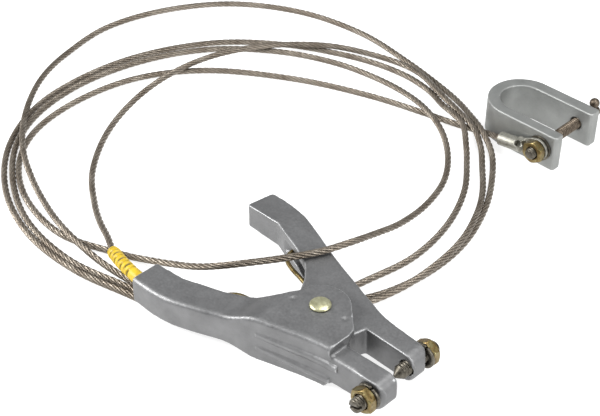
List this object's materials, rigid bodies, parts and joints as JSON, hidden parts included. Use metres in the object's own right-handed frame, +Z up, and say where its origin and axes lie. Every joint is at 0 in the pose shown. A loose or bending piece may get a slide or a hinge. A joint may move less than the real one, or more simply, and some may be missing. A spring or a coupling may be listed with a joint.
{
  "type": "ground_clamp",
  "caption": "Static grounding set: sprung cast-aluminium hand clamp with two pointed jaw studs, joined by 3.2 m of bare steel wire rope to a small screw clamp.",
  "frame": {"origin": "on the hand clamp's pivot axis, at the surface that the set lies on", "axes": "+X from the handles towards the jaws, +Y from the fixed arm towards the moving arm, +Z up along the pivot"},
  "size_m": [0.3128, 0.2604, 0.0239],
  "materials": {
    "cast_grey": "satin",
    "cast_silver": "satin",
    "zinc_yellow": "satin",
    "dark_steel": "satin",
    "rope_steel": "satin",
    "screw_steel": "satin",
    "tinned_copper": "satin",
    "copper": "satin",
    "sleeve_yellow": "satin"
  },
  "bodies": {
    "grounding_set": {"fixed_arm": "cast_grey", "pivot_rivet": "zinc_yellow", "torsion_spring": "zinc_yellow", "fixed_jaw_stud": "dark_steel", "fixed_jaw_washer": "dark_steel", "fixed_jaw_nut": "zinc_yellow", "cable_ferrule": "copper", "cable_set_screw": "dark_steel", "cable_sleeve": "sleeve_yellow", "rope_end": "rope_steel", "wire_rope": "rope_steel", "c_clamp_body": "cast_silver", "lug_stud": "dark_steel", "lug_washer": "dark_steel", "cable_lug": "tinned_copper", "lug_nut": "zinc_yellow"},
    "moving_jaw": {"moving_arm": "cast_grey", "moving_jaw_stud": "dark_steel", "moving_jaw_washer": "dark_steel", "moving_jaw_nut": "zinc_yellow"},
    "screw": {"clamp_screw": "screw_steel", "t_handle": "screw_steel"}
  },
  "joints": [
    {"name": "jaw_hinge", "type": "hinge", "parent": "grounding_set", "child": "moving_jaw", "pos_m": [0, 0, 0.011], "axis": [0, 0, 1], "range_deg": [0, 27], "stiffness_Nm_per_rad": 1, "springref_deg": -68.75, "deforming": ["torsion_spring"]},
    {"name": "clamp_screw_travel", "type": "slide", "parent": "grounding_set", "child": "screw", "axis": [0, 1, 0], "range_m": [-0.0015, 0.015]}
  ]
}
